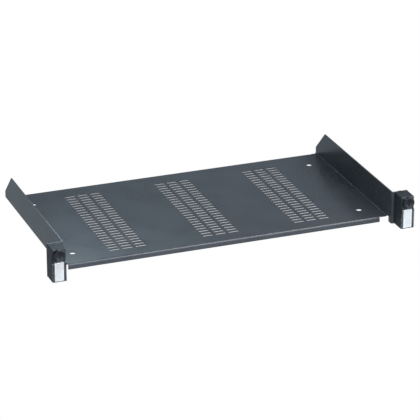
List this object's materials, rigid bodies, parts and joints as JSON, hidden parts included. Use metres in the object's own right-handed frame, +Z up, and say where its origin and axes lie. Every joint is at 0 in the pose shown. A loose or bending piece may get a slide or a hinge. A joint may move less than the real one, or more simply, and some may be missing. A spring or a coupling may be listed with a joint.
{
  "type": "rack shelf",
  "caption": "Shallow folded-steel rack shelf with slotted vent panels, low side wings and a turning-lock end block with a clear label window on each ear.",
  "frame": {"origin": "in the mounting plane, which is the ears' back faces, midway between the rack's rails and level with the panel's lower edge", "axes": "+X across the rack to the right as seen from the front, +Y back into the rack, +Z up"},
  "size_m": [0.483, 0.2733, 0.0456],
  "materials": {
    "sheet": "fine satin charcoal-black powder coat on folded sheet steel",
    "block": "black moulded plastic with a faint texture",
    "knob": "satin black moulded plastic",
    "steel": "zinc-plated steel",
    "window": "clear glossy moulded plastic",
    "card": "plain white card, no print"
  },
  "bodies": {
    "shelf": {"shelf_tray": "sheet", "left_end_block": "block", "left_spring_washer": "steel", "left_label_window": "window", "left_label_card": "card", "right_end_block": "block", "right_spring_washer": "steel", "right_label_window": "window", "right_label_card": "card"},
    "left_lock": {"left_lock_knob": "knob", "left_lock_shaft": "steel", "left_lock_cam": "steel", "left_cam_clip": "steel"},
    "right_lock": {"right_lock_knob": "knob", "right_lock_shaft": "steel", "right_lock_cam": "steel", "right_cam_clip": "steel"}
  },
  "joints": [
    {"name": "left_lock_turn", "type": "hinge", "parent": "shelf", "child": "left_lock", "pos_m": [-0.23255, -0.0241, 0.0365], "axis": [0, 1, 0], "range_deg": [0, 90]},
    {"name": "right_lock_turn", "type": "hinge", "parent": "shelf", "child": "right_lock", "pos_m": [0.23255, -0.0241, 0.0365], "axis": [0, 1, 0], "range_deg": [0, 90]}
  ]
}
